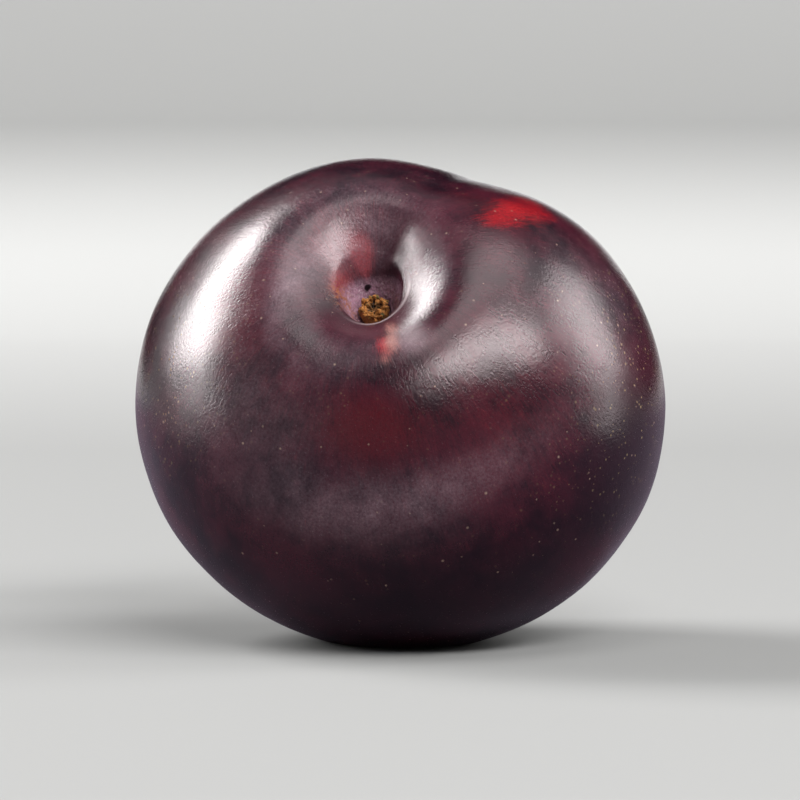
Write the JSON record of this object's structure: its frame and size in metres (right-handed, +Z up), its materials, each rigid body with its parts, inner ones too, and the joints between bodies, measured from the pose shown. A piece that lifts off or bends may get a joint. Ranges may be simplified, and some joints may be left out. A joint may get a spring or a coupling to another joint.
{
  "type": "plum",
  "caption": "Dark round plum lying on its side, with a stem cavity, a suture fold and a dried stem remnant.",
  "frame": {"origin": "middle of the plum's outline box, at the level of the flat spot it rests on", "axes": "+Z up as it rests; the stem cavity is tipped towards -Y, about 48 degrees from the vertical; +X is the widest way across"},
  "size_m": [0.0628, 0.0594, 0.0571],
  "materials": {
    "skin": "satin",
    "stem": "matte"
  },
  "bodies": {
    "root": {"fruit": "skin", "stem_stub": "stem"}
  },
  "joints": []
}
